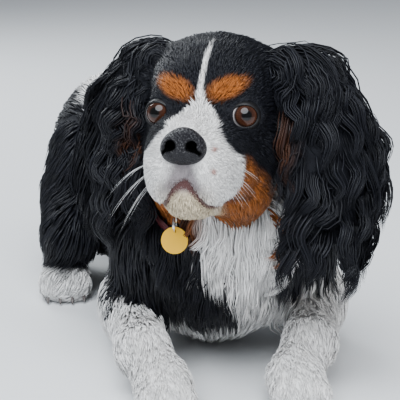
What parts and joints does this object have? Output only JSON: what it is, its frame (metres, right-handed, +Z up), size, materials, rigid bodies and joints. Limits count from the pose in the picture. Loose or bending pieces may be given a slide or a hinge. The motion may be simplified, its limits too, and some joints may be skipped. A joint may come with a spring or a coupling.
{
  "type": "cavalier king charles spaniel",
  "caption": "Life-size still model of a cavalier king charles spaniel lying down with its head raised, wavy-eared, with a round tag at its throat.",
  "frame": {"origin": "centre of the small resting flat under the brisket, on the floor", "axes": "+Z up, the dog's chest faces -Y, its left side is +X"},
  "size_m": [0.2503, 0.5501, 0.2628],
  "materials": {
    "coat_black": "silky",
    "coat_white": "silky",
    "eye": "wet",
    "nose": "pebbled",
    "collar": "smooth",
    "tag_metal": "brushed"
  },
  "bodies": {
    "root": {"head": "coat_black", "lower_jaw": "coat_white", "nose": "nose", "eye_left": "eye", "eye_right": "eye", "ear_left": "coat_black", "ear_right": "coat_black", "neck": "coat_white", "torso": "coat_black", "foreleg_left": "coat_white", "foreleg_right": "coat_white", "hindleg_left": "coat_black", "hindleg_right": "coat_black", "tail": "coat_white", "collar": "collar", "tag_ring": "tag_metal", "tag": "tag_metal"}
  },
  "joints": []
}
